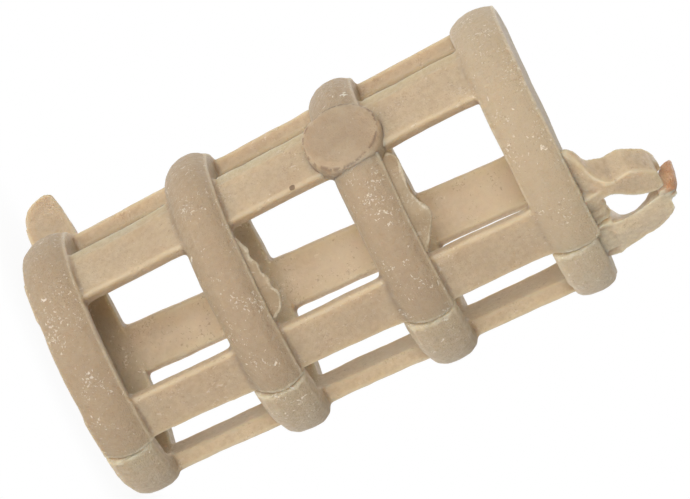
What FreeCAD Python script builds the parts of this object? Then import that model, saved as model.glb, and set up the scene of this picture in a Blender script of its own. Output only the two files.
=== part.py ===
import FreeCAD, Part
import math
import os

from FreeCAD import Vector

# Clamshell queen cage, in millimetres. +Z runs along the cage's axis, from the centre of the small
# end's flat face (the origin) up to the hanging eye. -Y points at the moulding gate on the front
# shell, and +X at the side where the eye is. The two shells meet on a plane of constant Y.

# Barrel
hoop_count = 4
hoop_pitch = 6.42
hoop_width = 2.0
hoop_proud = 0.6          # how far a hoop stands out from the bars
hoop_crown = 0.3          # height of the rounded top of a front hoop
small_radius = 5.0        # over the bars, at the small end's face
large_radius = 5.73       # over the bars, at the large end's face
bar_thickness = 0.66
bar_arc = 23.3            # degrees of the barrel that one bar covers
front_bar_angles = {"left": -72.0, "middle": 0.0, "right": 72.0}
back_bar_angles = {"left": -144.0, "right": 144.0}
end_wall_thickness = 0.8

# Seam between the shells
seam_offset = 0.66        # the parting plane's distance from the axis, towards the front
seam_gap = 0.05
lug_width = 2.4           # along the axis
lug_arc = 21.0            # degrees, from the parting plane
lug_chamfer = 0.35
peg_radius = 0.28
peg_length = 0.75
peg_clearance = 0.08      # round the peg and past its end
pegged_hoops = (1, 2, 3)

# Eye and hinge
arm_inner_x = 4.03
arm_width = 1.35
arm_root_front = 3.4      # how far the front arm's foot spreads from the parting plane
arm_root_back = 2.4
arm_bow = 1.88            # the eye's half width over its arms
arm_waist_height = 1.0
arm_waist_pinch = 0.02    # the waist inside the bow
arm_shoulder_height = 0.35
arm_shoulder_sag = 0.25   # how hollow the foot's outer side is
arm_crown = 1.73          # half width near the top of the bow
arm_crown_height = 2.1
arm_tip_thickness = 0.5   # one arm, at the fold
eye_half_width = 1.3
eye_low = 0.4
eye_high = 2.3
hinge_height = 3.0        # the fold's centre above the large end's face
crease_radius = 0.5
crease_clearance = 0.05

# Finger ear
ear_reach = 8.67          # from the axis
ear_width = 2.3
ear_thickness = 0.9
ear_sink = 0.53           # how deep its root goes into the lug

# Gate pad and flash
gate_radius = 1.6
gate_height = 0.15        # above the hoop that carries it
gate_sink = 0.35          # its underside, below the bar's outer face
gate_hoop = 3
flash_thickness = 0.15
flash_height = 0.4
gate_fillet_share = 0.9   # of the height that stands over the hoop
flash_arcs = {2: (18.0, 56.0), 3: (12.0, 60.0)}   # hoop: angles from the gate

body_length = (hoop_count - 1) * hoop_pitch + hoop_width
front_limit = -seam_offset - seam_gap / 2
back_limit = -seam_offset + seam_gap / 2
far = 4 * (large_radius + body_length)    # bigger than anything in the cage


def outer_radius(z):
    """Radius over the bars at height z."""
    return small_radius + (large_radius - small_radius) * z / body_length


def inner_radius(z):
    """Radius inside the bars and hoops at height z."""
    return outer_radius(z) - bar_thickness


def hoop_middle(index):
    return hoop_width / 2 + (index - 1) * hoop_pitch


def seam_angle(index):
    """Degrees from the front at which the parting plane cuts a hoop's outer face."""
    rim = outer_radius(hoop_middle(index)) + hoop_proud
    return math.degrees(math.acos(seam_offset / rim))


def spin(points):
    """Solid of revolution about Z from (radius, z) corners."""
    corners = [Vector(r, 0, z) for r, z in points]
    face = Part.Face(Part.makePolygon(corners + corners[:1]))
    return face.revolve(Vector(0, 0, 0), Vector(0, 0, 1), 360)


def wedge(start, end):
    """Tall sector between two angles in degrees, counted from -Y towards +X."""
    def rim(angle):
        turn = math.radians(angle)
        return Vector(far * math.sin(turn), -far * math.cos(turn), -far)
    corners = [Vector(0, 0, -far), rim(start), rim((start + end) / 2), rim(end)]
    face = Part.Face(Part.makePolygon(corners + corners[:1]))
    return face.extrude(Vector(0, 0, 2 * far))


def front_half(shape):
    block = Part.makeBox(2 * far, far, 2 * far, Vector(-far, front_limit - far, -far))
    return shape.common(block)


def back_half(shape):
    block = Part.makeBox(2 * far, far, 2 * far, Vector(-far, back_limit, -far))
    return shape.common(block)


def crowned_ring(index):
    """Whole hoop with a rounded outer face."""
    low = hoop_middle(index) - hoop_width / 2
    high = low + hoop_width
    middle = hoop_middle(index)
    rim = outer_radius(middle) + hoop_proud
    inner_low = Vector(inner_radius(low), 0, low)
    inner_high = Vector(inner_radius(high), 0, high)
    edge_low = Vector(rim - hoop_crown, 0, low)
    edge_high = Vector(rim - hoop_crown, 0, high)
    crown = Part.Arc(edge_low, Vector(rim, 0, middle), edge_high).toShape()
    sides = Part.makePolygon([edge_high, inner_high, inner_low, edge_low]).Edges
    face = Part.Face(Part.Wire([crown] + sides))
    return face.revolve(Vector(0, 0, 0), Vector(0, 0, 1), 360)


def lug_limits(index):
    """Lowest and highest z of the lugs on a hoop. The end lugs stop at the cage's faces."""
    low = max(0.0, hoop_middle(index) - lug_width / 2)
    high = min(body_length, hoop_middle(index) + lug_width / 2)
    return low, high


def lug_ring(index):
    """Whole ring with a chamfered outer face, from which the lugs are cut."""
    low, high = lug_limits(index)
    rim = outer_radius(hoop_middle(index)) + hoop_proud
    return spin([
        (inner_radius(low), low),
        (rim - lug_chamfer, low),
        (rim, low + lug_chamfer),
        (rim, high - lug_chamfer),
        (rim - lug_chamfer, high),
        (inner_radius(high), high),
    ])


def bar(angle):
    """Full-length bar, before the shell's half cuts it."""
    shell = spin([
        (inner_radius(0), 0),
        (outer_radius(0), 0),
        (outer_radius(body_length), body_length),
        (inner_radius(body_length), body_length),
    ])
    return shell.common(wedge(angle - bar_arc / 2, angle + bar_arc / 2))


def end_wall(low):
    high = low + end_wall_thickness
    return spin([(0, low), (inner_radius(low), low), (inner_radius(high), high), (0, high)])


def lug_sector(index, side):
    """Space of a lug round the axis. side is 1 at +X and -1 at -X."""
    start = side * (seam_angle(index) - lug_arc)
    end = side * (seam_angle(index) + lug_arc)
    return back_half(wedge(min(start, end), max(start, end)))


def lug(index, side):
    """Thickened end of a back hoop."""
    return lug_ring(index).common(lug_sector(index, side))


def peg_place(index, side):
    """Centre of a peg on the parting plane."""
    middle = hoop_middle(index)
    radius = inner_radius(middle) + (bar_thickness + hoop_proud) / 2
    return Vector(side * math.sqrt(radius ** 2 - seam_offset ** 2), -seam_offset, middle)


def peg(index, side):
    base = peg_place(index, side)
    base.y = front_limit
    pin = Part.makeCylinder(peg_radius, peg_length, base, Vector(0, 1, 0))
    tip = max(pin.Edges, key=lambda edge: edge.BoundBox.YMin)
    return pin.makeChamfer(peg_radius / 3, [tip])


def socket(index, side):
    base = peg_place(index, side)
    base.y = -seam_offset - peg_clearance
    depth = peg_length + 2 * peg_clearance
    return Part.makeCylinder(peg_radius + peg_clearance, depth, base, Vector(0, 1, 0))


def crease():
    start = Vector(arm_inner_x, -seam_offset, body_length + hinge_height)
    return Part.makeCylinder(crease_radius, arm_width, start, Vector(1, 0, 0))


def hinge_arm(side, root, limit):
    """One strap of the eye. side is -1 in front and 1 behind; limit is the shell's seam face."""
    def place(distance, height):
        return Vector(arm_inner_x, -seam_offset + side * distance, body_length + height)
    flat = abs(limit + seam_offset)
    fold = hinge_height
    foot = place(root, 0)
    waist = place(arm_bow - arm_waist_pinch, arm_waist_height)
    shoulder = place((root + arm_bow) / 2 - arm_shoulder_sag, arm_shoulder_height)
    tip = place(arm_tip_thickness, fold)
    edges = [
        Part.Arc(foot, shoulder, waist).toShape(),
        Part.Arc(waist, place(arm_crown, arm_crown_height), tip).toShape(),
        Part.makeLine(tip, place(flat, fold)),
        Part.makeLine(place(flat, fold), place(flat, eye_high)),
        Part.Arc(place(flat, eye_high), place(eye_half_width, (eye_low + eye_high) / 2),
                 place(flat, eye_low)).toShape(),
        Part.makeLine(place(flat, eye_low), place(flat, 0)),
        Part.makeLine(place(flat, 0), foot),
    ]
    strap = Part.Face(Part.Wire(edges)).extrude(Vector(arm_width, 0, 0))
    rim = outer_radius(body_length) + hoop_proud - hoop_crown
    return strap.common(Part.makeCylinder(rim, far, Vector(0, 0, 0)))


def finger_ear():
    """Rounded tab on the back shell, in line with the seam and on the side away from the eye."""
    radius = ear_width / 2
    straight = -ear_reach + radius
    root = -(outer_radius(hoop_middle(1)) + hoop_proud - ear_sink)
    plate = Part.makeBox(root - straight, ear_thickness, ear_width,
                         Vector(straight, back_limit, 0))
    end = Part.makeCylinder(radius, ear_thickness, Vector(straight, back_limit, radius),
                            Vector(0, 1, 0))
    return plate.fuse(end).removeSplitter()


def gate_pad():
    """Round pad of the moulding gate, seated over the middle bar and its hoop."""
    middle = hoop_middle(gate_hoop)
    bottom = outer_radius(middle) - gate_sink
    height = gate_sink + hoop_proud + gate_height
    pad = Part.makeCylinder(gate_radius, height, Vector(0, -bottom, middle), Vector(0, -1, 0))
    rim = min(pad.Edges, key=lambda edge: edge.BoundBox.YMax)
    pad = pad.makeFillet(gate_height * gate_fillet_share, [rim])
    return pad.cut(bar(0)).cut(crowned_ring(gate_hoop))


def flash_fin(index):
    """Thin fin of flash on a front hoop's upper face."""
    low = hoop_middle(index) + hoop_width / 2
    high = low + flash_height
    start, end = flash_arcs[index]
    ring = spin([
        (inner_radius(low), low),
        (inner_radius(low) + flash_thickness, low),
        (inner_radius(low) + flash_thickness, high),
        (inner_radius(low), high),
    ])
    return ring.common(wedge(start, end))


def save(name, shape):
    solids = shape.Solids
    print(name, len(solids), "solid(s)", round(shape.Volume, 3), "mm3", shape.isValid())
    result = solids[0] if len(solids) == 1 else Part.makeCompound(solids)
    result.exportStep("parts/" + name + ".step")


def main():
    os.makedirs("parts", exist_ok=True)
    hoops = range(1, hoop_count + 1)
    sides = {"left": -1, "right": 1}

    front_bars = {name: front_half(bar(angle)) for name, angle in front_bar_angles.items()}
    back_bars = {name: back_half(bar(angle)) for name, angle in back_bar_angles.items()}
    lugs = {(index, name): lug(index, side) for index in hoops for name, side in sides.items()}
    ear = finger_ear().cut(lugs[(1, "left")])

    for name, shape in front_bars.items():
        save("front_bar_" + name, shape)
    for name, shape in back_bars.items():
        save("back_bar_" + name, shape)

    for index in hoops:
        front = front_half(crowned_ring(index))
        for shape in front_bars.values():
            front = front.cut(shape)
        save("front_hoop_" + str(index), front)

        back = back_half(crowned_ring(index))
        for shape in back_bars.values():
            back = back.cut(shape)
        for side in sides.values():
            back = back.cut(lug_sector(index, side))
        save("back_hoop_" + str(index), back)

        for name, side in sides.items():
            block = lugs[(index, name)]
            if index in pegged_hoops:
                block = block.cut(socket(index, side))
            save("seam_lug_" + name + "_" + str(index), block)

    for name, low in {"small": 0.0, "large": body_length - end_wall_thickness}.items():
        save("front_" + name + "_end_wall", front_half(end_wall(low)))
        save("back_" + name + "_end_wall", back_half(end_wall(low)))

    fold = crease()
    clearance = Part.makeCylinder(crease_radius + crease_clearance, far,
                                  Vector(0, -seam_offset, body_length + hinge_height),
                                  Vector(1, 0, 0))
    save("hinge_crease", fold)
    save("back_hinge_arm", hinge_arm(1, arm_root_back, back_limit).cut(fold))
    save("front_hinge_arm", hinge_arm(-1, arm_root_front, front_limit).cut(clearance))

    save("finger_ear", ear)
    save("gate_pad", gate_pad())
    for index in flash_arcs:
        save("moulding_flash_" + str(index), flash_fin(index))
    save("locating_pegs", Part.makeCompound(
        [peg(index, side) for index in pegged_hoops for side in sides.values()]))

    print("hinge at", 0.0, -seam_offset, body_length + hinge_height)
    print("eye at", arm_inner_x + arm_width / 2, -seam_offset,
          body_length + (eye_low + eye_high) / 2)
    print("chamber radius, small end", inner_radius(end_wall_thickness))


main()
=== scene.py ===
import bmesh
import bpy
import math
import numpy
from mathutils import Matrix, Vector, noise


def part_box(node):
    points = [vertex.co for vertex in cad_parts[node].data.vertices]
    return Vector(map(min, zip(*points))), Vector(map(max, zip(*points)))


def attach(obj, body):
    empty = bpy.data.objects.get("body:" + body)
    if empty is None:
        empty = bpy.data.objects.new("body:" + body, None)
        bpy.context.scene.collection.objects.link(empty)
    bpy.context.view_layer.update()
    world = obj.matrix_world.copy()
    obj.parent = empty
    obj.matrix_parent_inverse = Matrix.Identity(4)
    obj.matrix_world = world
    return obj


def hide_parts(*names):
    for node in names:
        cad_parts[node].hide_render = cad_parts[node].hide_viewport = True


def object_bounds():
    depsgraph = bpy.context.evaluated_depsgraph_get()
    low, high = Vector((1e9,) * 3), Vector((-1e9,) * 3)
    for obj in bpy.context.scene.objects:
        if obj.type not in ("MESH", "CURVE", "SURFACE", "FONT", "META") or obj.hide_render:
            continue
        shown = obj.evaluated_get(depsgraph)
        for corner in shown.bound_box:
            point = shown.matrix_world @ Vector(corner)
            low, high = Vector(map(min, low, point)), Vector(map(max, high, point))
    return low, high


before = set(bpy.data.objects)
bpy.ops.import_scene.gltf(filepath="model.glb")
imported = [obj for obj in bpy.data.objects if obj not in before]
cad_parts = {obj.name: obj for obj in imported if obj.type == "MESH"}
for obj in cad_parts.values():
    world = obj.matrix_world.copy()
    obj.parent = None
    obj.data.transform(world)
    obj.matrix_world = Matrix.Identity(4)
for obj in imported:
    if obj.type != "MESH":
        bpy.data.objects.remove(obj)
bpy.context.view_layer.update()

# Shapes are drawn in millimetres and turned into metres when they become objects.
# Angles go round the cage's axis in degrees, from the gate (-Y) towards the eye's side (+X).
mm = 0.001


def boxMm(node):
    low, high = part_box(node)
    return Vector(low) / mm, Vector(high) / mm


barLow, barHigh = boxMm("front_bar_middle")
firstLow, firstHigh = boxMm("front_hoop_1")
lastLow, lastHigh = boxMm("front_hoop_4")
barrel = {
    "length": barHigh.z,
    "smallRadius": 5.0,                        # over the bars
    "largeRadius": -barLow.y,
    "wall": 0.66,
    "hoops": 4,
    "firstHoop": (firstLow.z + firstHigh.z) / 2,
    "lastHoop": (lastLow.z + lastHigh.z) / 2,
    "hoopWidth": firstHigh.z - firstLow.z,
    "hoopProud": 0.6,
    "seam": 0.66,                              # parting plane's distance in front of the axis
    "seamGap": 0.03,                           # half the open line between the shells
}
hoopPitch = (barrel["lastHoop"] - barrel["firstHoop"]) / (barrel["hoops"] - 1)


def outerRadius(z):
    part = z / barrel["length"]
    return barrel["smallRadius"] + (barrel["largeRadius"] - barrel["smallRadius"]) * part


def innerRadius(z):
    return outerRadius(z) - barrel["wall"]


def hoopMiddle(index):
    return barrel["firstHoop"] + index * hoopPitch


def around(radius, angle, z):
    turn = math.radians(angle)
    return Vector((radius * math.sin(turn), -radius * math.cos(turn), z))


# Where a circle meets a shell's seam face. side is -1 for the front shell and 1 for the back.
def seamAngle(radius, side):
    return math.degrees(math.acos((barrel["seam"] - side * barrel["seamGap"]) / radius))


view = {
    "azimuth": 40.0,
    "elevation": 4.4,
    "roll": 63.9,          # clockwise
    "distance": 184.0,     # mm
    "lens": 242.0,
    "aimRight": 1.065,     # mm, how far the view's centre lies from the barrel's middle
    "aimUp": 0.32,
}


def addCamera():
    a, e = math.radians(view["azimuth"]), math.radians(view["elevation"])
    back = Vector((math.sin(a) * math.cos(e), -math.cos(a) * math.cos(e), math.sin(e)))
    turn = (-back).to_track_quat("-Z", "Y").to_matrix()
    turn = turn @ Matrix.Rotation(math.radians(view["roll"]), 3, "Z")
    right, up = turn.col[0], turn.col[1]
    aim = Vector((0, 0, barrel["length"] / 2)) + right * view["aimRight"] + up * view["aimUp"]
    data = bpy.data.cameras.new("camera")
    data.lens = view["lens"]
    data.clip_start = 0.01
    data.clip_end = 10
    camera = bpy.data.objects.new("camera", data)
    bpy.context.scene.collection.objects.link(camera)
    camera.matrix_world = Matrix.Translation((aim + back * view["distance"]) * mm) @ turn.to_4x4()
    bpy.context.scene.camera = camera


addCamera()
print("camera placed")


# Closed ring sector: a profile of (radius, z) corners carried round the axis.
def sweep(bm, profile, startOf, endOf, steps, shape=None):
    rows = []
    for k in range(steps + 1):
        row = []
        for radius, z in profile:
            angle = startOf(radius) + (endOf(radius) - startOf(radius)) * k / steps
            r, h = shape(radius, z, angle) if shape else (radius, z)
            row.append(bm.verts.new(around(r, angle, h)))
        rows.append(row)
    closeRows(bm, rows)


# Skins rows of matching loops and caps both ends.
def closeRows(bm, rows):
    count = len(rows[0])
    for low, high in zip(rows, rows[1:]):
        for j in range(count):
            i = (j + 1) % count
            bm.faces.new((low[j], low[i], high[i], high[j]))
    bm.faces.new(rows[0][::-1])
    bm.faces.new(rows[-1])


# Skins loops of one solid strap. Each loop is a list of (x, y, z).
def loft(bm, loops):
    closeRows(bm, [[bm.verts.new(p) for p in loop] for loop in loops])


# Flat outline of (x, y) points raised between two heights.
def prism(bm, outline, low, high):
    rows = [[bm.verts.new((x, y, z)) for x, y in outline] for z in (low, high)]
    closeRows(bm, rows)


def smoothStep(low, high, value):
    t = min(1.0, max(0.0, (value - low) / (high - low)))
    return t * t * (3 - 2 * t)


# Smooth run of points through a few given ones.
def curveThrough(points, steps):
    ends = [points[0] * 2 - points[1]] + points + [points[-1] * 2 - points[-2]]
    run = []
    for a, b, c, d in zip(ends, ends[1:], ends[2:], ends[3:]):
        for k in range(steps):
            t = k / steps
            run.append(0.5 * (2 * b + (c - a) * t + (2 * a - 5 * b + 4 * c - d) * t * t
                              + (3 * b - a - 3 * c + d) * t ** 3))
    run.append(points[-1])
    return run


# Loop of a flat bar's section, with its corners taken off, as (across, through).
def rounded(halfWidth, halfThick, corner):
    w, t, c = halfWidth, halfThick, corner
    return [(-w, -t + c), (-w + c, -t), (w - c, -t), (w, -t + c),
            (w, t - c), (w - c, t), (-w + c, t), (-w, t - c)]


def makeObject(name, bm):
    mesh = bpy.data.meshes.new(name)
    bm.to_mesh(mesh)
    bm.free()
    piece = bpy.data.objects.new(name, mesh)
    bpy.context.scene.collection.objects.link(piece)
    return piece


# Swaps a piece's mesh for what its modifiers make of it.
def applyModifiers(piece):
    drawn = piece.data
    shaped = piece.evaluated_get(bpy.context.evaluated_depsgraph_get())
    piece.data = bpy.data.meshes.new_from_object(shaped)
    piece.modifiers.clear()
    bpy.data.meshes.remove(drawn)
    piece.data.name = piece.name


# waves per mm, and how much the quicker ones add
skin = {"slow": 0.45, "middle": 1.3, "middleShare": 0.45, "fine": 3.1, "fineShare": 0.2}


# Runs the drawn solids together as one moulding, with soft edges and a slightly uneven skin.
def moulded(name, bm, voxel, melt, wobble):
    bmesh.ops.recalc_face_normals(bm, faces=bm.faces)
    piece = makeObject(name, bm)
    remesh = piece.modifiers.new("run together", "REMESH")
    remesh.mode = "VOXEL"
    remesh.voxel_size = voxel
    soften = piece.modifiers.new("soften", "SMOOTH")
    soften.factor = 0.5
    soften.iterations = melt
    applyModifiers(piece)
    finished = piece.data
    normals = [v.normal.copy() for v in finished.vertices]
    for v, n in zip(finished.vertices, normals):
        p = v.co
        uneven = noise.noise(p * skin["slow"]) + skin["middleShare"] * noise.noise(p * skin["middle"])
        uneven += skin["fineShare"] * noise.noise(p * skin["fine"])
        v.co = p + n * wobble * uneven
    finished.shade_smooth()
    markEdges(finished)
    return piece


# rounds of blurring, how much each takes from the neighbours, and the curvature per mm
# that counts as an edge
edgeMark = {"rounds": 3, "share": 0.6, "full": 1.6}


# Stores how sharply the skin bends at each point: 1 on an outer edge, 0 in a hollow, 0.5 on the flat.
def markEdges(mesh):
    count = len(mesh.vertices)
    point = numpy.empty(count * 3)
    normal = numpy.empty(count * 3)
    ends = numpy.empty(len(mesh.edges) * 2, dtype=int)
    mesh.vertices.foreach_get("co", point)
    mesh.vertex_normals.foreach_get("vector", normal)
    mesh.edges.foreach_get("vertices", ends)
    point, normal, ends = point.reshape(-1, 3), normal.reshape(-1, 3), ends.reshape(-1, 2)
    both = numpy.concatenate((ends, ends[:, ::-1]))
    here, there = both[:, 0], both[:, 1]
    step = point[there] - point[here]
    bend = -(step * normal[here]).sum(axis=1) / (step ** 2).sum(axis=1)
    friends = numpy.bincount(here, minlength=count)
    value = numpy.bincount(here, bend, count) / friends
    for _ in range(edgeMark["rounds"]):
        nearby = numpy.bincount(here, value[there], count) / friends
        value = (1 - edgeMark["share"]) * value + edgeMark["share"] * nearby
    layer = mesh.attributes.new("edge", "FLOAT", "POINT")
    layer.data.foreach_set("value", numpy.clip(0.5 + value / (2 * edgeMark["full"]), 0, 1))


def finishPiece(piece, body, material, nodes):
    piece.data.transform(Matrix.Scale(mm, 4))
    piece.data.materials.clear()
    piece.data.materials.append(material)
    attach(piece, body)
    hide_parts(*nodes)
    print(piece.name, "made,", len(piece.data.polygons), "faces")


def newGroup(name, inputs, outputs):
    group = bpy.data.node_groups.new(name, "ShaderNodeTree")
    for label, value in inputs.items():
        socket = group.interface.new_socket(label, in_out="INPUT", socket_type="NodeSocketFloat")
        socket.default_value = value
    for label in outputs:
        group.interface.new_socket(label, in_out="OUTPUT", socket_type="NodeSocketFloat")
    return group, group.nodes.new("NodeGroupInput"), group.nodes.new("NodeGroupOutput")


def node(tree, kind, **settings):
    made = tree.nodes.new(kind)
    for key, value in settings.items():
        if key in made.inputs:
            made.inputs[key].default_value = value
        else:
            setattr(made, key, value)
    return made


# Place on the piece, in millimetres.
def inMillimetres(tree):
    where = tree.nodes.new("ShaderNodeTexCoord")
    scale = node(tree, "ShaderNodeVectorMath", operation="SCALE")
    scale.inputs["Scale"].default_value = 1 / mm
    tree.links.new(where.outputs["Object"], scale.inputs[0])
    return scale.outputs[0]


# 0 below low, 1 above high.
def ramp(tree, value, low, high):
    made = node(tree, "ShaderNodeMapRange", interpolation_type="SMOOTHSTEP")
    made.inputs["From Min"].default_value = low
    made.inputs["From Max"].default_value = high
    tree.links.new(value, made.inputs["Value"])
    return made.outputs["Result"]


def math2(tree, operation, a, b):
    made = node(tree, "ShaderNodeMath", operation=operation)
    for socket, value in zip(made.inputs, (a, b)):
        if isinstance(value, (int, float)):
            socket.default_value = value
        else:
            tree.links.new(value, socket)
    return made.outputs[0]


# Cloudy variation of the plastic: slow clouds, and finer flow marks.
def mottleGroup():
    sizes = {"Cloud Scale": 0.5, "Fleck Scale": 4.0}
    group, source, target = newGroup("mould mottle", sizes, ["Clouds", "Flecks"])
    spot = inMillimetres(group)
    for label, output, detail in (("Cloud Scale", "Clouds", 3), ("Fleck Scale", "Flecks", 5)):
        clouds = node(group, "ShaderNodeTexNoise", Detail=detail, Roughness=0.6)
        group.links.new(spot, clouds.inputs["Vector"])
        group.links.new(source.outputs[label], clouds.inputs["Scale"])
        group.links.new(ramp(group, clouds.outputs["Fac"], 0.3, 0.7), target.inputs[output])
    return group


# Crumbs of pale plastic gathered in patches, and scattered dark specks, as two masks.
def speckGroup():
    sizes = {"Scale": 6.0, "Patch Scale": 0.8, "Least": 0.66}
    group, source, target = newGroup("mould specks", sizes, ["Bright", "Dark"])
    spot = inMillimetres(group)
    patches = node(group, "ShaderNodeTexNoise", Detail=2, Roughness=0.5)
    group.links.new(spot, patches.inputs["Vector"])
    group.links.new(source.outputs["Patch Scale"], patches.inputs["Scale"])
    gathered = math2(group, "MULTIPLY", math2(group, "SUBTRACT", 0.62, patches.outputs["Fac"]), 0.45)
    least = math2(group, "ADD", source.outputs["Least"], gathered)
    shifted = node(group, "ShaderNodeVectorMath", operation="ADD")
    shifted.inputs[1].default_value = (4.1, 8.6, 2.2)      # mm, so that the dark specks fall elsewhere
    group.links.new(spot, shifted.inputs[0])
    for start, output in ((spot, "Bright"), (shifted.outputs[0], "Dark")):
        crumbs = node(group, "ShaderNodeTexNoise", Detail=3, Roughness=0.62, Distortion=0.6)
        group.links.new(start, crumbs.inputs["Vector"])
        group.links.new(source.outputs["Scale"], crumbs.inputs["Scale"])
        over = math2(group, "SUBTRACT", crumbs.outputs["Fac"], least)
        group.links.new(ramp(group, over, 0.0, 0.035), target.inputs[output])
    return group


# Height of the moulded skin: pits and a fine tooth.
def grainGroup():
    sizes = {"Pit Scale": 5.0, "Tooth Scale": 16.0, "Tooth": 0.35}
    group, source, target = newGroup("mould grain", sizes, ["Height"])
    spot = inMillimetres(group)
    pits = node(group, "ShaderNodeTexNoise", Detail=4, Roughness=0.65)
    tooth = node(group, "ShaderNodeTexNoise", Detail=2, Roughness=0.5)
    for made, label in ((pits, "Pit Scale"), (tooth, "Tooth Scale")):
        group.links.new(spot, made.inputs["Vector"])
        group.links.new(source.outputs[label], made.inputs["Scale"])
    fine = math2(group, "MULTIPLY", tooth.outputs["Fac"], source.outputs["Tooth"])
    group.links.new(math2(group, "ADD", pits.outputs["Fac"], fine), target.inputs["Height"])
    return group


effects = {"mottle": mottleGroup(), "specks": speckGroup(), "grain": grainGroup()}


def placeEffect(tree, effect, **values):
    made = tree.nodes.new("ShaderNodeGroup")
    made.node_tree = effects[effect]
    for label, value in values.items():
        made.inputs[label.replace("_", " ")].default_value = value
    return made


def mixColour(tree, factor, a, b, strength=1.0):
    made = tree.nodes.new("ShaderNodeMix")
    made.data_type = "RGBA"
    if isinstance(factor, (int, float)):
        made.inputs["Factor"].default_value = factor
    else:
        tree.links.new(math2(tree, "MULTIPLY", factor, strength), made.inputs["Factor"])
    for label, value in (("A", a), ("B", b)):
        socket = [s for s in made.inputs if s.name == label and s.type == "RGBA"][0]
        if isinstance(value, tuple):
            socket.default_value = (*value, 1)
        else:
            tree.links.new(value, socket)
    return [s for s in made.outputs if s.type == "RGBA"][0]


plastic = {
    "base": (0.482, 0.373, 0.245),      # sunned natural nylon
    "pale": (0.610, 0.500, 0.345),      # thin or lit-through stretches
    "deep": (0.370, 0.270, 0.175),      # thick hoops and seams
    "lit": (0.650, 0.560, 0.400),       # faces turned to the axis, lit through the shell
    "rim": (0.730, 0.625, 0.460),       # light caught in the edges
    "hollow": (0.300, 0.210, 0.135),    # painted shade in creases and corners; also the colour of the dark dust specks
    "spark": (0.92, 0.86, 0.74),
    "speck": (0.13, 0.075, 0.04),
    "roughness": (0.42, 0.64),
    "gloss": 0.32,
    "ior": 1.53,
    "bump": 0.13,                       # mm
    "glowDepth": 1.2,                   # mm that light travels inside
}


# How strongly each mask takes over the colour.
shares = {
    "clouds": 0.30,
    "flecks": 0.42,
    "lit": 0.8,
    "largeEnd": 0.4,
    "rim": 0.9,
    "hollow": 0.30,
    "specks": 0.6,
    "dust": 0.45,
    "darkDust": 0.45,
    "darkSpecks": 0.2,
    "mark": 0.85,
    # what every part has of the crumbs and the bump, and what the thick hoops add
    "rimThick": 0.5,
    "crumbs": 0.35,
    "crumbsThick": 0.65,
    "bump": 0.45,
    "bumpThick": 0.55,
}


gateRing = {"inner": 1.40, "middle": 1.50, "outer": 1.60, "colour": (0.20, 0.13, 0.085), "depth": 0.8}


# Broken dark line round the gate pad, where it stands on the hoop: painted shade in the crevice there.
def rimLine(tree, colour, flecks):
    spread = node(tree, "ShaderNodeVectorMath", operation="MULTIPLY_ADD")
    tree.links.new(inMillimetres(tree), spread.inputs[0])
    spread.inputs[1].default_value = (1, 0, 1)
    spread.inputs[2].default_value = (0, 0, -hoopMiddle(2))
    reach = node(tree, "ShaderNodeVectorMath", operation="LENGTH")
    tree.links.new(spread.outputs[0], reach.inputs[0])
    rising = ramp(tree, reach.outputs["Value"], gateRing["inner"], gateRing["middle"])
    falling = ramp(tree, reach.outputs["Value"], gateRing["outer"], gateRing["middle"])
    broken = ramp(tree, flecks, 0.25, 0.6)
    line = math2(tree, "MULTIPLY", math2(tree, "MULTIPLY", rising, falling), broken)
    return mixColour(tree, line, colour, gateRing["colour"], gateRing["depth"])


# Roughens a material by a height, and lets light travel inside it.
def addSkin(tree, height, weight, reach, depth):
    shader = tree.nodes["Principled BSDF"]
    bump = node(tree, "ShaderNodeBump", Strength=1.0, Distance=plastic["bump"] * mm)
    tree.links.new(height, bump.inputs["Height"])
    tree.links.new(bump.outputs["Normal"], shader.inputs["Normal"])
    shader.subsurface_method = "RANDOM_WALK"
    shader.inputs["Subsurface Weight"].default_value = weight
    shader.inputs["Subsurface Radius"].default_value = reach
    shader.inputs["Subsurface Scale"].default_value = depth * mm
    shader.inputs["IOR"].default_value = plastic["ior"]


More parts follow.
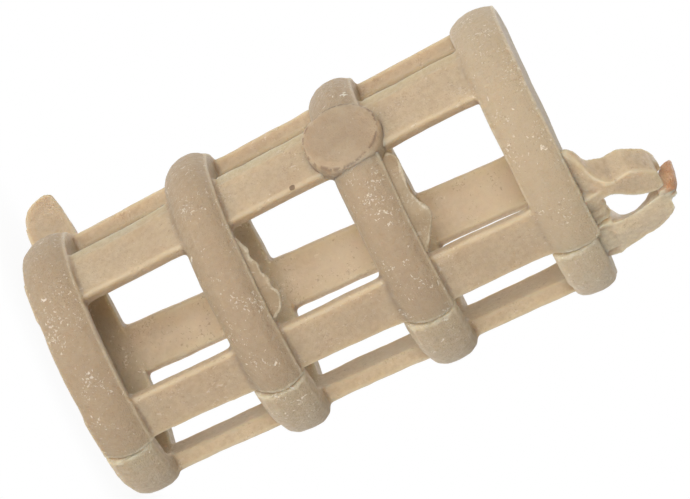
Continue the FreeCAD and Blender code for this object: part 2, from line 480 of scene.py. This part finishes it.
# Natural nylon. lean tips the base colour towards pale (above 0) or deep (below 0).
# marks are single inclusions: place in mm, size and colour.
def nylon(name, lean, sparks=1.0, marks=(), ring=False, heavy=0.45, glow=0.9, rimShare=0.2):
    material = bpy.data.materials.new(name)
    material.use_nodes = True
    tree = material.node_tree
    shader = tree.nodes["Principled BSDF"]
    mottle = placeEffect(tree, "mottle", Cloud_Scale=0.45, Fleck_Scale=4.5)
    fewer = 0.04 * (1 - sparks)
    specks = placeEffect(tree, "specks", Scale=4.0, Patch_Scale=0.7, Least=0.645 + fewer)
    dust = placeEffect(tree, "specks", Scale=9.0, Patch_Scale=1.1, Least=0.595 + fewer)
    grain = placeEffect(tree, "grain", Pit_Scale=4.2, Tooth_Scale=15.0, Tooth=0.3)
    thick = node(tree, "ShaderNodeAttribute", attribute_name="thick")
    edge = node(tree, "ShaderNodeAttribute", attribute_name="edge")
    inward = node(tree, "ShaderNodeAttribute", attribute_name="inward")
    height = tree.nodes.new("ShaderNodeSeparateXYZ")
    tree.links.new(inMillimetres(tree), height.inputs[0])
    target = plastic["pale"] if lean > 0 else plastic["deep"]
    base = tuple(b + (t - b) * abs(lean) for b, t in zip(plastic["base"], target))
    colour = mixColour(tree, mottle.outputs["Clouds"], base, plastic["pale"], shares["clouds"])
    colour = mixColour(tree, mottle.outputs["Flecks"], colour, plastic["deep"], shares["flecks"])
    colour = mixColour(tree, thick.outputs["Fac"], colour, plastic["deep"], heavy)
    # Painted light: faces turned to the axis paler, as if lit through the shell.
    colour = mixColour(tree, inward.outputs["Fac"], colour, plastic["lit"], shares["lit"])
    largeEnd = ramp(tree, height.outputs["Z"], hoopMiddle(2) + 1.5, hoopMiddle(3))
    largeEnd = math2(tree, "MULTIPLY", largeEnd, thick.outputs["Fac"])
    colour = mixColour(tree, largeEnd, colour, plastic["pale"], shares["largeEnd"])
    # Painted highlight: broken pale lines where the skin bends outwards, stronger on the hoops.
    rim = math2(tree, "MULTIPLY", ramp(tree, edge.outputs["Fac"], 0.61, 0.80), mottle.outputs["Flecks"])
    raised = math2(tree, "MULTIPLY", thick.outputs["Fac"], shares["rimThick"])
    rim = math2(tree, "MULTIPLY", rim, math2(tree, "ADD", raised, rimShare))
    colour = mixColour(tree, rim, colour, plastic["rim"], shares["rim"])
    # Painted shade: darker in the creases and corners, where the skin bends inwards.
    hollow = ramp(tree, edge.outputs["Fac"], 0.42, 0.10)
    colour = mixColour(tree, hollow, colour, plastic["hollow"], shares["hollow"])
    crowd = math2(tree, "MULTIPLY", thick.outputs["Fac"], shares["crumbsThick"])
    crowd = math2(tree, "ADD", crowd, shares["crumbs"])
    for crumbs, share in ((specks, shares["specks"]), (dust, shares["dust"])):
        bright = math2(tree, "MULTIPLY", crumbs.outputs["Bright"], crowd)
        colour = mixColour(tree, bright, colour, plastic["spark"], share)
    colour = mixColour(tree, dust.outputs["Dark"], colour, plastic["hollow"], shares["darkDust"])
    colour = mixColour(tree, specks.outputs["Dark"], colour, plastic["speck"], shares["darkSpecks"])
    for spot, size, tint in marks:
        near = node(tree, "ShaderNodeVectorMath", operation="DISTANCE")
        tree.links.new(inMillimetres(tree), near.inputs[0])
        near.inputs[1].default_value = spot
        ragged = math2(tree, "MULTIPLY", mottle.outputs["Flecks"], 0.05)
        ragged = math2(tree, "ADD", near.outputs["Value"], ragged)
        colour = mixColour(tree, math2(tree, "LESS_THAN", ragged, size), colour, tint, shares["mark"])
    if ring:
        colour = rimLine(tree, colour, mottle.outputs["Flecks"])
    tree.links.new(colour, shader.inputs["Base Color"])
    rough = node(tree, "ShaderNodeMapRange")
    rough.inputs["To Min"].default_value, rough.inputs["To Max"].default_value = plastic["roughness"]
    tree.links.new(mottle.outputs["Flecks"], rough.inputs["Value"])
    tree.links.new(rough.outputs["Result"], shader.inputs["Roughness"])
    heft = math2(tree, "MULTIPLY", thick.outputs["Fac"], shares["bumpThick"])
    heft = math2(tree, "ADD", heft, shares["bump"])
    skinHeight = math2(tree, "MULTIPLY", grain.outputs["Height"], heft)
    addSkin(tree, skinHeight, glow, (1.0, 0.75, 0.5), plastic["glowDepth"])
    shader.inputs["Specular IOR Level"].default_value = plastic["gloss"]
    return material


amberFold = {
    "amber": (0.46, 0.225, 0.105),
    "lit": (0.62, 0.37, 0.19),
    "whitened": (0.66, 0.54, 0.38),
    "roughness": 0.3,
    "glow": 0.6,
    "depth": 0.5,          # mm that light travels inside
    "whitening": (3.12, 2.77),     # mm over the large end, where it starts and is complete
}


# The stressed fold: amber where it bends most, whitening towards the arms.
def amber():
    material = bpy.data.materials.new("stressed fold nylon")
    material.use_nodes = True
    tree = material.node_tree
    shader = tree.nodes["Principled BSDF"]
    mottle = placeEffect(tree, "mottle", Cloud_Scale=1.6, Fleck_Scale=7.0)
    grain = placeEffect(tree, "grain", Pit_Scale=5.0, Tooth_Scale=14.0, Tooth=0.4)
    split = tree.nodes.new("ShaderNodeSeparateXYZ")
    tree.links.new(inMillimetres(tree), split.inputs[0])
    colour = mixColour(tree, mottle.outputs["Clouds"], amberFold["amber"], amberFold["lit"], 0.8)
    start, full = (barrel["length"] + h for h in amberFold["whitening"])
    white = ramp(tree, split.outputs["Z"], start, full)
    colour = mixColour(tree, white, colour, amberFold["whitened"], 0.9)
    colour = mixColour(tree, mottle.outputs["Flecks"], colour, amberFold["whitened"], 0.2)
    tree.links.new(colour, shader.inputs["Base Color"])
    shader.inputs["Roughness"].default_value = amberFold["roughness"]
    addSkin(tree, grain.outputs["Height"], amberFold["glow"], (1.0, 0.5, 0.25), amberFold["depth"])
    return material


barSpeck = ((0.85, -5.5, 11.3), 0.17, plastic["speck"])
looks = {
    "front": nylon("front shell nylon", 0.02, heavy=0.6, marks=[barSpeck]),
    # The back shell is painted paler than the front, with less deep hoops: painted light, for the glow
    # through the shell on the faces seen from inside.
    "back": nylon("back shell nylon", 0.6, heavy=0.25),
    "ear": nylon("ear nylon", -0.15, 0.5),
    "thin": nylon("thin nylon", 0.4, 0.7),
    # The back arm is painted paler than the front arm: painted light, for its face lit from above.
    "strap": nylon("thin strap nylon", 1.3, 0.5),
    "gate": nylon("gate nylon", -1.0, 0.5, ring=True),
    "film": nylon("flash film", -0.9, 1.5, glow=0.35, rimShare=0.8),
    "fold": amber(),
}
print("materials made")


hoopShape = {
    # height as a share of the hoop's rise, and place across it in half widths
    "frontSection": [(0.02, -1.0), (0.42, -0.80), (0.82, -0.46), (1.0, -0.08), (1.0, 0.36), (0.86, 0.66),
                     (0.66, 0.84), (0.60, 1.0)],
    "backSection": [(0.22, -0.98), (0.62, -0.84), (0.92, -0.52), (1.02, 0.0), (0.95, 0.5), (0.66, 0.84),
                    (0.25, 0.98)],
    "rise": (0.50, 0.72, 0.63, 0.40),      # of each hoop over the plain barrel
    "shift": (0.04, 0.06, 0.10, -0.03),     # along the axis
    "backTrim": (0.12, 0.0, 0.0, 0.24),    # taken off the back hoop's large-end side
    "lugArc": 21.0,                        # degrees from the seam
    "lugSpread": 1.08,                     # how much wider the hoop is there
    "lugFade": 6.0,                        # degrees
    "steps": 90,
}


# Section of a hoop: stations above the bars' face and along the axis, in half widths.
def hoopProfile(index, section):
    middle = hoopMiddle(index)
    half = barrel["hoopWidth"] / 2
    rim = outerRadius(middle)
    rise, shift = hoopShape["rise"][index], hoopShape["shift"][index]
    outside = [(rim + rise * up, max(0.0, middle + shift + half * along)) for up, along in section]
    low, high = middle - half, middle + half
    return [(innerRadius(low), low)] + outside + [(innerRadius(high), high)]


def drawFrontHoop(bm, index):
    sweep(bm, hoopProfile(index, hoopShape["frontSection"]),
          lambda r: -seamAngle(r, -1), lambda r: seamAngle(r, -1), hoopShape["steps"])


def drawBackHoop(bm, index):
    middle = hoopMiddle(index)
    seam = seamAngle(outerRadius(middle), 1)

    def spread(radius, z, angle):
        fromSeam = min(angle - seam, 360 - seam - angle)
        lug = 1 - smoothStep(hoopShape["lugArc"], hoopShape["lugArc"] + hoopShape["lugFade"], fromSeam)
        widen = 1 + (hoopShape["lugSpread"] - 1) * lug
        if z > middle:
            z -= hoopShape["backTrim"][index]
        z = middle + (z - middle) * widen
        return radius, min(barrel["length"], max(0.0, z))

    sweep(bm, hoopProfile(index, hoopShape["backSection"]),
          lambda r: seamAngle(r, 1), lambda r: 360 - seamAngle(r, 1), hoopShape["steps"], spread)


barShape = {
    "arc": (21.6, 23.4),       # of the front and the back bars
    "corner": 0.08,
    "flare": 0.03,         # how much wider a bar gets where it runs into a hoop
    "flareReach": 0.8,
    "stations": 96,
    "lift": 0.13,          # stands this much over the plain barrel
    "drift": 0.04,         # unevenness of its sides
    "front": ((-71.5, -71.5), (-1.6, -1.2), (71.4, 71.2)),      # angle at the small and the large end
    "back": ((140.9, 150.6), (219.2, 211.2)),
}


def drawBar(bm, angles, side):
    rows = []
    top = barrel["length"] - (hoopShape["backTrim"][-1] if side > 0 else 0)
    for k in range(barShape["stations"] + 1):
        z = top * k / barShape["stations"]
        angle = angles[0] + (angles[1] - angles[0]) * k / barShape["stations"]
        gap = min(abs(z - hoopMiddle(i)) for i in range(barrel["hoops"])) - barrel["hoopWidth"] / 2
        flare = barShape["flare"] * (1 - smoothStep(0, barShape["flareReach"], gap)) ** 2
        radius = (outerRadius(z) + innerRadius(z)) / 2 + barShape["lift"]
        drift = barShape["drift"] * noise.noise(Vector((angles[0], 0.3 * z, side)))
        arc = barShape["arc"][0 if side < 0 else 1]
        halfWidth = math.radians(arc / 2) * outerRadius(z) + flare + drift
        halfThick = barrel["wall"] / 2 + flare * 0.3
        row = []
        for across, through in rounded(halfWidth, halfThick, barShape["corner"]):
            r = radius + through
            turn = math.degrees(across / radius)
            if side < 0:
                limit = seamAngle(r, -1)
                turn = max(-limit - angle, min(limit - angle, turn))
            row.append(bm.verts.new(around(r, angle + turn, z)))
        rows.append(row)
    closeRows(bm, rows)


# how far it reaches from the bar and how much that wavers, in degrees, and its thickness and sink in mm
lip = {"arc": 5.4, "ripple": 0.5, "thick": 0.12, "sink": 0.05}


# Thin lip of plastic squeezed out along the middle bar's far edge.
def drawLip(bm):
    edge = -barShape["arc"][0] / 2 - 0.4
    loops = []
    for k in range(barShape["stations"] + 1):
        z = barrel["length"] * (0.02 + 0.96 * k / barShape["stations"])
        top = outerRadius(z) + barShape["lift"] - lip["sink"]
        middle = barShape["front"][1][0]
        far = edge + middle - lip["arc"] + lip["ripple"] * noise.noise(Vector((0.9 * z, 4.2, 1.1)))
        near = edge + middle + 2
        loops.append([around(r, a, z) for r, a in ((top, near), (top, far), (top - lip["thick"], far),
                                                   (top - lip["thick"], near))])
    loft(bm, loops)


endWall = {"thick": 0.8, "bury": 0.3, "steps": 40}


def drawEndWall(bm, low, side):
    high = low + endWall["thick"]
    if side > 0 and low > 0:
        high -= hoopShape["backTrim"][-1]
    radius = innerRadius((low + high) / 2) + endWall["bury"]
    start, end = -seamAngle(radius, -1), seamAngle(radius, -1)
    if side > 0:
        start, end = seamAngle(radius, 1), 360 - seamAngle(radius, 1)
    outline = []
    for k in range(endWall["steps"] + 1):
        p = around(radius, start + (end - start) * k / endWall["steps"], 0)
        outline.append((p.x, p.y))
    prism(bm, outline, low, high)


pegs = {
    "hoops": (0, 1, 2),
    # radius and y, of a peg and of the hole that takes it
    "profile": [(0.31, -0.9), (0.31, -0.62), (0.28, -0.5), (0.28, -0.05), (0.25, 0.03), (0.17, 0.08)],
    "socket": [(0.36, -0.80), (0.36, 0.17)],
    "round": 20,
}


def pegPlace(index, side):
    middle = hoopMiddle(index)
    radius = innerRadius(middle) + (barrel["wall"] + barrel["hoopProud"]) / 2
    return side * math.sqrt(radius ** 2 - barrel["seam"] ** 2), middle


def drawPins(bm, profile):
    for index in pegs["hoops"]:
        for side in (-1, 1):
            x, z = pegPlace(index, side)
            turns = [2 * math.pi * k / pegs["round"] for k in range(pegs["round"])]
            loft(bm, [[(x + r * math.cos(t), y, z + r * math.sin(t)) for t in turns] for r, y in profile])


# Cuts the holes that take the pegs.
def cutSockets(piece):
    bm = bmesh.new()
    drawPins(bm, pegs["socket"])
    bmesh.ops.recalc_face_normals(bm, faces=bm.faces)
    holes = makeObject("holes", bm)
    cut = piece.modifiers.new("peg holes", "BOOLEAN")
    cut.operation = "DIFFERENCE"
    cut.solver = "EXACT"
    cut.object = holes
    applyModifiers(piece)
    mesh = holes.data
    bpy.data.objects.remove(holes)
    bpy.data.meshes.remove(mesh)


moulding = {"voxel": 0.075, "melt": 5, "wobble": 0.035}


# Painted glow on the inner faces, standing in for light through the shell, with painted shade just past
# each hoop.
inside = {
    "blur": 0.25,              # mm either side of a hoop's edge
    "facing": (0.35, 0.9),     # how squarely a face has to meet the axis
    "least": 0.5,              # share just past a hoop
    "bright": (0.9, 4.4),      # mm past a hoop's middle
    "wallShare": 0.9,          # on the end walls' inner faces
    "bore": 0.15,              # how far within the barrel those are looked for
    "level": 0.6,              # how squarely they face along the axis
}


# Stores how far each point stands in a hoop rather than a bar, and a painted glow on faces turned to the
# inside, standing in for light through the shell: weaker just past each hoop as painted shade, and a fixed
# share on the end walls' inner faces.
def markThick(mesh):
    thick = mesh.attributes.new("thick", "FLOAT", "POINT")
    inward = mesh.attributes.new("inward", "FLOAT", "POINT")
    half = barrel["hoopWidth"] / 2
    for v, hoopShare, insideShare in zip(mesh.vertices, thick.data, inward.data):
        gap = min(abs(v.co.z - hoopMiddle(i)) for i in range(barrel["hoops"])) - half
        hoopShare.value = 1 - smoothStep(-inside["blur"], inside["blur"], gap)
        outwards = Vector((v.co.x, v.co.y, 0))
        past = (v.co.z - barrel["firstHoop"]) % hoopPitch
        share = inside["least"] + (1 - inside["least"]) * smoothStep(*inside["bright"], past)
        insideShare.value = share * smoothStep(*inside["facing"], -v.normal.dot(outwards.normalized()))
        bore = outwards.length < innerRadius(v.co.z) - inside["bore"]
        between = endWall["thick"] / 2 < v.co.z < barrel["length"] - endWall["thick"] / 2
        if bore and between and abs(v.normal.z) > inside["level"]:
            insideShare.value = inside["wallShare"]


def shell(name, side):
    bm = bmesh.new()
    for index in range(barrel["hoops"]):
        (drawFrontHoop if side < 0 else drawBackHoop)(bm, index)
    for angles in barShape["front" if side < 0 else "back"]:
        drawBar(bm, angles, side)
    if side < 0:
        drawLip(bm)
    for low in (0.0, barrel["length"] - endWall["thick"]):
        drawEndWall(bm, low, side)
    piece = moulded(name, bm, moulding["voxel"], moulding["melt"], moulding["wobble"])
    if side > 0:
        cutSockets(piece)
    markThick(piece.data)
    return piece


def nodesOf(*starts):
    return [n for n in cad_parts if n.startswith(starts)]


finishPiece(shell("front_half_barrel", -1), "front_shell", looks["front"],
            nodesOf("front_hoop", "front_bar", "front_small", "front_large"))
finishPiece(shell("back_half_barrel", 1), "back_shell", looks["back"],
            nodesOf("back_hoop", "back_bar", "back_small", "back_large", "seam_lug"))


ear = {
    # x and z
    "outline": [(-4.9, 0.0), (-6.4, 0.0), (-7.7, 0.0), (-8.25, 0.08), (-8.62, 0.28), (-8.88, 0.56),
                (-9.02, 0.88), (-9.06, 1.18), (-8.92, 1.46), (-8.1, 1.68), (-7.1, 1.84), (-6.3, 1.93),
                (-4.9, 2.0)],
    "front": -0.63,
    "thickRoot": 0.92,
    "thickTip": 0.62,
    "lean": 0.12,          # how far the tip bends backwards
    "slices": 8,
    "voxel": 0.07,
    "melt": 5,
}


def drawEar():
    bm = bmesh.new()
    rows = []
    for k in range(ear["slices"] + 1):
        part = k / ear["slices"]
        row = []
        for x, z in ear["outline"]:
            out = smoothStep(4.9, 9.0, -x)
            thick = ear["thickRoot"] + (ear["thickTip"] - ear["thickRoot"]) * out
            row.append(bm.verts.new((x, ear["front"] + ear["lean"] * out * out + thick * part, z)))
        rows.append(row)
    closeRows(bm, rows)
    return moulded("finger_ear_tab", bm, ear["voxel"], ear["melt"], 0.04)


eye = {
    # height over the large end, outer y, inner y at the far and the near face, x of the far face,
    # and x of the near face at the outer and the inner y
    "front": [(-0.45, -3.90, -1.95, -1.95, 4.02, 4.10, 4.90), (0.03, -4.05, -1.90, -1.90, 4.00, 4.14, 5.15),
              (0.20, -3.98, -1.90, -1.90, 4.00, 4.24, 5.28), (0.42, -3.62, -1.95, -1.95, 4.02, 4.50, 5.36),
              (0.62, -3.10, -2.00, -2.00, 4.02, 4.90, 5.40), (0.94, -2.82, -2.00, -2.00, 4.01, 5.24, 5.42),
              (1.26, -2.66, -1.80, -1.80, 4.00, 5.34, 5.42), (1.62, -2.74, -1.50, -1.50, 3.98, 5.34, 5.42),
              (2.00, -2.74, -1.28, -1.28, 3.98, 5.32, 5.42), (2.43, -2.50, -1.15, -1.15, 3.98, 5.30, 5.42),
              (2.84, -2.10, -1.06, -1.06, 4.00, 5.28, 5.40), (3.12, -1.60, -1.03, -1.03, 4.02, 5.24, 5.36)],
    "back": [(-0.45, 1.95, -0.52, -0.52, 4.15, 5.05, 5.25), (0.08, 1.96, -0.50, -0.52, 4.12, 5.14, 5.36),
             (0.34, 1.84, -0.38, -0.50, 4.12, 5.28, 5.40), (0.52, 1.62, -0.10, -0.48, 4.12, 5.38, 5.42),
             (0.70, 1.50, 0.34, -0.46, 4.12, 5.42, 5.42), (0.92, 1.44, 0.84, -0.46, 4.12, 5.42, 5.42),
             (1.42, 1.38, 0.96, -0.50, 4.12, 5.42, 5.42), (1.98, 1.30, 0.72, -0.60, 4.12, 5.42, 5.42),
             (2.25, 1.14, 0.44, -0.68, 4.12, 5.42, 5.42), (2.48, 0.96, 0.10, -0.72, 4.12, 5.40, 5.42),
             (2.78, 0.62, -0.36, -0.72, 4.12, 5.38, 5.40), (3.06, 0.12, -0.58, -0.70, 4.12, 5.34, 5.40),
             (3.28, -0.30, -0.62, -0.68, 4.40, 5.34, 5.40)],
    "hingeY": -0.66,
    "hinge": 3.0,          # height of the fold over the large end
    "clear": 0.55,         # bare radius kept round the fold by the front arm
    "gap": 0.08,           # how much nearer the back arm may come
    "under": 0.04,         # how far the tips' near sides stay below the fold's middle
    "over": 0.16,          # how far the front tip's far side stands over it
    "notch": 0.24,         # how far the back tip's far side stays below it
    "split": (4.62, 4.80),         # x where the far side of the front and the back tip ends
    "crease": 0.45,        # place of the back arm's crease across its near face
    "bevel": 0.24,         # how far that face falls back beyond the crease
    "bevelEnd": (2.2, 3.1),        # heights over the large end where that runs out
    "fine": 4,
    "voxel": 0.055,
    "melt": 5,
    "ripple": 0.10,
}


# Keeps the front arm off the fold, and shapes both tips so that they pass each other as the cage
# opens: only the front tip's far side stands over the fold's middle, and the back tip's far side
# is cut down to suit.
def keepClear(piece, side):
    for v in piece.data.vertices:
        away = Vector((v.co.y - eye["hingeY"], v.co.z - barrel["length"] - eye["hinge"]))
        if side == "front":
            away.y = min(away.y, eye["over"] if v.co.x < eye["split"][0] else -eye["under"])
            if away.length < eye["clear"]:
                away = away.normalized() * eye["clear"]
        elif away.length > eye["clear"] - eye["gap"]:
            farSide = away.x > 0 and v.co.x < eye["split"][1]
            away.y = min(away.y, -eye["notch"] if farSide else -eye["under"])
        v.co.y = eye["hingeY"] + away.x
        v.co.z = barrel["length"] + eye["hinge"] + away.y


web = {
    # y, and height over the large end
    "front": [(-0.71, 0.66), (-0.95, 0.74), (-1.2, 0.64), (-1.5, 0.74), (-1.8, 0.66), (-2.4, 0.8)],
    "back": [(-0.57, 0.62), (-0.3, 0.72), (0.0, 0.62), (0.3, 0.76), (0.7, 0.7), (1.1, 0.5)],
    "near": 5.40,
    "far": 4.2,
    "foot": 0.4,           # how deep it is rooted in the large end
    "crumple": 0.06,
}


# Crumpled skin left between the arms' feet.
def drawWeb(bm, tops):
    loops = []
    for y, height in tops:
        crumple = web["crumple"] * math.sin(9 * y)
        low, high = barrel["length"] - web["foot"], barrel["length"] + height
        near, far = web["near"] + crumple, web["far"] + crumple
        loops.append([(far, y, low), (near, y, low), (near - 0.1, y, high - 0.1), (near - 0.3, y, high),
                      (far + 0.3, y, high - 0.12)])
    loft(bm, loops)


def drawFoldedArm(name, side):
    stations = [Vector(s) for s in eye[side]]
    bm = bmesh.new()
    loops = []
    for h, outer, innerFar, innerNear, far, nearOuter, nearInner in curveThrough(stations, eye["fine"]):
        z = barrel["length"] + h
        loop = [(far, outer, z), (far, innerFar, z), (nearInner, innerNear, z), (nearOuter, outer, z)]
        if side == "back":
            crease = innerNear + (outer - innerNear) * eye["crease"]
            bevel = eye["bevel"] * (1 - smoothStep(*eye["bevelEnd"], h))
            loop[3:] = [(nearOuter, crease, z), (nearOuter - bevel, outer, z)]
        loops.append(loop)
    loft(bm, loops)
    drawWeb(bm, web[side])
    piece = moulded(name, bm, eye["voxel"], eye["melt"], eye["ripple"])
    keepClear(piece, side)
    return piece


fold = {
    # across x: x, radius of the fold there, and how far it leans up
    "stations": [(4.00, 0.16, 0.46), (4.15, 0.28, 0.34), (4.6, 0.40, 0.18), (5.1, 0.42, 0.04),
                 (5.38, 0.34, -0.04)],
    "squeeze": (0.72, 0.28),       # least depth against the radius, and what comes back at the top
    "sides": 18,
    "voxel": 0.05,
    "melt": 2,
    "wobble": 0.05,
}


def drawFold():
    bm = bmesh.new()
    loops = []
    for x, radius, lift in fold["stations"]:
        loop = []
        for k in range(fold["sides"]):
            turn = 2 * math.pi * k / fold["sides"]
            squeeze = fold["squeeze"][0] + fold["squeeze"][1] * abs(math.sin(turn))
            y = eye["hingeY"] + radius * squeeze * math.cos(turn)
            loop.append((x, y, barrel["length"] + eye["hinge"] + lift + radius * math.sin(turn)))
        loops.append(loop)
    loft(bm, loops)
    return moulded("hinge_fold", bm, fold["voxel"], fold["melt"], fold["wobble"])


pad = {
    # distance from the gate's middle, and height over the hoop's crown
    "profile": [(0.0, 0.06), (0.5, 0.07), (0.95, 0.08), (1.3, 0.05), (1.5, 0.0), (1.58, -0.07),
                (1.64, -0.22), (1.64, -0.5), (1.6, -0.9)],
    "round": 40,
    "oval": 0.03,          # how far its outline strays from round
    "lobes": 0.015,
    "follow": 0.55,        # how closely it follows the hoop's curve
    "hoop": 2,
    "voxel": 0.06,
    "melt": 2,
    "wobble": 0.10,
}


def drawPad():
    crown = outerRadius(hoopMiddle(pad["hoop"])) + barrel["hoopProud"]
    bm = bmesh.new()
    loops = []
    for reach, height in pad["profile"][1:]:
        loop = []
        for k in range(pad["round"]):
            turn = 2 * math.pi * k / pad["round"]
            r = reach * (1 + pad["oval"] * math.sin(2 * turn + 0.6) + pad["lobes"] * math.sin(5 * turn))
            sag = (r * math.cos(turn)) ** 2 / (2 * crown) * pad["follow"]
            z = hoopMiddle(pad["hoop"]) + r * math.sin(turn)
            loop.append((r * math.cos(turn), -(crown + height - sag), z))
        loops.append(loop)
    loft(bm, loops)
    return moulded("gate_mark", bm, pad["voxel"], pad["melt"], pad["wobble"])


flash = {
    # angle from the gate and height of the torn edge over the hoop's face
    1: [(14, 0.05), (18, 0.16), (22, 0.30), (26, 0.24), (30, 0.40), (34, 0.36), (38, 0.54), (42, 0.50),
        (46, 0.66), (50, 0.58), (54, 0.44), (57, 0.08)],
    2: [(10, 0.30), (13, 0.58), (18, 0.66), (24, 0.60), (30, 0.54), (34, 0.60), (38, 0.74), (42, 0.94),
        (46, 0.88), (50, 0.64), (54, 0.42), (58, 0.20), (61, 0.05)],
    "thick": 0.13,
    "bury": 0.35,
    "curl": 0.16,          # how far the torn edge leans in and out
    "out": 0.10,           # from the bars' inner face
    "fine": 5,
    "voxel": 0.05,
    "melt": 2,
    "wobble": 0.03,
}


def drawFlash(index):
    base = hoopMiddle(index) + barrel["hoopWidth"] / 2
    bm = bmesh.new()
    loops = []
    for angle, height in curveThrough([Vector(p) for p in flash[index]], flash["fine"]):
        lean = flash["curl"] * math.sin(angle * 0.35) * height
        low = innerRadius(base) + flash["out"]
        loops.append([
            around(low, angle, base - flash["bury"]),
            around(low + flash["thick"] * 1.5, angle, base - flash["bury"]),
            around(low + flash["thick"] * 1.2 + lean * 0.5, angle, base + height * 0.5),
            around(low + flash["thick"] * 0.7 + lean, angle, base + height),
            around(low + lean, angle, base + height),
            around(low + lean * 0.5, angle, base + height * 0.5),
        ])
    loft(bm, loops)
    return moulded("flash_" + str(index + 1), bm, flash["voxel"], flash["melt"], flash["wobble"])


def drawPegs():
    bm = bmesh.new()
    drawPins(bm, pegs["profile"])
    bmesh.ops.recalc_face_normals(bm, faces=bm.faces)
    piece = makeObject("seam_pegs", bm)
    piece.data.shade_smooth()
    return piece


finishPiece(drawEar(), "back_shell", looks["ear"], ["finger_ear"])
finishPiece(drawFoldedArm("eye_front_arm", "front"), "front_shell", looks["thin"],
            ["front_hinge_arm"])
finishPiece(drawFoldedArm("eye_back_arm", "back"), "back_shell", looks["strap"],
            ["back_hinge_arm"])
finishPiece(drawFold(), "back_shell", looks["fold"], ["hinge_crease"])
finishPiece(drawPad(), "front_shell", looks["gate"], ["gate_pad"])
for index, fin in ((1, "moulding_flash_2"), (2, "moulding_flash_3")):
    finishPiece(drawFlash(index), "front_shell", looks["film"], [fin])
finishPiece(drawPegs(), "front_shell", looks["front"], ["locating_pegs"])


studio = {
    "white": 1.0,
    "fill": 0.42,
    "floorColour": (0.86, 0.86, 0.85),
    "floorRadius": 3.0,
    "floorGlow": 0.93,
    "fadeFrom": 0.005,
    "fadeTo": 0.011,
}


def addWorld():
    world = bpy.data.worlds.new("studio")
    bpy.context.scene.world = world
    world.use_nodes = True
    tree = world.node_tree
    tree.nodes.clear()
    seen = node(tree, "ShaderNodeBackground", Strength=studio["white"])
    fill = node(tree, "ShaderNodeBackground", Strength=studio["fill"])
    path = tree.nodes.new("ShaderNodeLightPath")
    mix = tree.nodes.new("ShaderNodeMixShader")
    out = tree.nodes.new("ShaderNodeOutputWorld")
    for made in (seen, fill):
        made.inputs["Color"].default_value = (1, 1, 1, 1)
    tree.links.new(path.outputs["Is Camera Ray"], mix.inputs[0])
    tree.links.new(fill.outputs[0], mix.inputs[1])
    tree.links.new(seen.outputs[0], mix.inputs[2])
    tree.links.new(mix.outputs[0], out.inputs[0])


def addFloor():
    bm = bmesh.new()
    bmesh.ops.create_circle(bm, cap_ends=True, segments=96, radius=studio["floorRadius"])
    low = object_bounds()[0][2]
    floor = makeObject("floor", bm)
    floor.location.z = low
    material = bpy.data.materials.new("pale floor")
    material.use_nodes = True
    tree = material.node_tree
    tree.nodes.clear()
    near = node(tree, "ShaderNodeBsdfDiffuse")
    near.inputs["Color"].default_value = (*studio["floorColour"], 1)
    away = node(tree, "ShaderNodeEmission", Strength=studio["white"])
    spot = tree.nodes.new("ShaderNodeTexCoord")
    reach = node(tree, "ShaderNodeVectorMath", operation="LENGTH")
    tree.links.new(spot.outputs["Object"], reach.inputs[0])
    mix = tree.nodes.new("ShaderNodeMixShader")
    out = tree.nodes.new("ShaderNodeOutputMaterial")
    faded = ramp(tree, reach.outputs["Value"], studio["fadeFrom"], studio["fadeTo"])
    tree.links.new(faded, mix.inputs[0])
    lift = tree.nodes.new("ShaderNodeMixShader")
    lift.inputs[0].default_value = studio["floorGlow"]
    tree.links.new(near.outputs[0], lift.inputs[1])
    tree.links.new(away.outputs[0], lift.inputs[2])
    tree.links.new(lift.outputs[0], mix.inputs[1])
    tree.links.new(away.outputs[0], mix.inputs[2])
    tree.links.new(mix.outputs[0], out.inputs[0])
    floor.data.materials.append(material)


lamps = {
    "front": {"right": -0.10, "up": 0.16, "back": 1.0, "distance": 0.34, "size": 0.08, "watts": 0.69},
    "key": {"right": -0.55, "up": 0.75, "back": 0.8, "distance": 0.30, "size": 0.12, "watts": 0.22},
    "behind": {"right": 0.5, "up": 0.7, "back": -1.0, "distance": 0.30, "size": 0.20, "watts": 0.30},
    "below": {"right": -0.3, "up": -0.9, "back": -0.7, "distance": 0.30, "size": 0.20, "watts": 0.50},
}


def addLamps():
    turn = bpy.context.scene.camera.matrix_world.to_3x3()
    middle = Vector((0, 0, barrel["length"] / 2 * mm))
    for name, lamp in lamps.items():
        aim = (turn @ Vector((lamp["right"], lamp["up"], lamp["back"]))).normalized()
        data = bpy.data.lights.new(name, "AREA")
        data.size = lamp["size"]
        data.energy = lamp["watts"]
        light = bpy.data.objects.new(name, data)
        light.location = middle + aim * lamp["distance"]
        light.rotation_mode = "QUATERNION"
        light.rotation_quaternion = aim.to_track_quat("Z", "Y")
        bpy.context.scene.collection.objects.link(light)


addWorld()
addFloor()
addLamps()
bpy.context.scene.view_settings.view_transform = "Standard"
print("studio lit")
